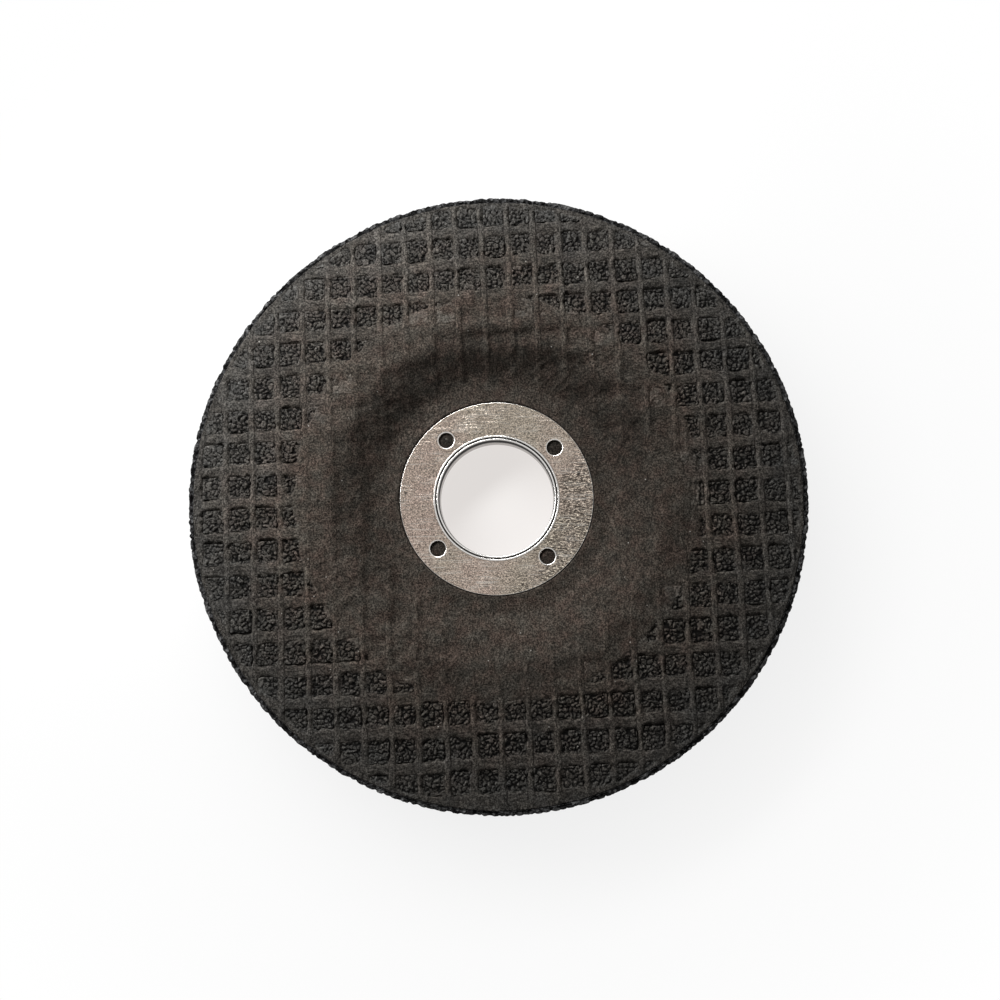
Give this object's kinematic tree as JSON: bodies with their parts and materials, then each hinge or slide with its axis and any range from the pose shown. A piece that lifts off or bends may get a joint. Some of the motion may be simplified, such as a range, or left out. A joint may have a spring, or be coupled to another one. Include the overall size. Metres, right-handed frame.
{
  "type": "grinding disc",
  "caption": "Depressed-centre grinding disc: dished resin-bonded abrasive with glass-fibre mesh faces and a steel-lined bore.",
  "frame": {"origin": "centre of the bore on the back face of the hub, where the disc seats and the lowest plane", "axes": "+Z along the bore towards the concave side, +Y up in the picture"},
  "size_m": [0.115, 0.115, 0.0106],
  "materials": {
    "bonded_abrasive": "rough resin-bonded grit",
    "glass_mesh": "resin-soaked glass-fibre mesh, matt",
    "blotter_paper": "fibrous paper, matt",
    "zinc_steel": "dull zinc-plated steel with fine scratches"
  },
  "bodies": {
    "root": {"abrasive_body": "bonded_abrasive", "front_mesh": "glass_mesh", "back_mesh": "glass_mesh", "centre_blotter": "blotter_paper", "hub_bushing": "zinc_steel", "hub_washer": "zinc_steel"}
  },
  "joints": []
}
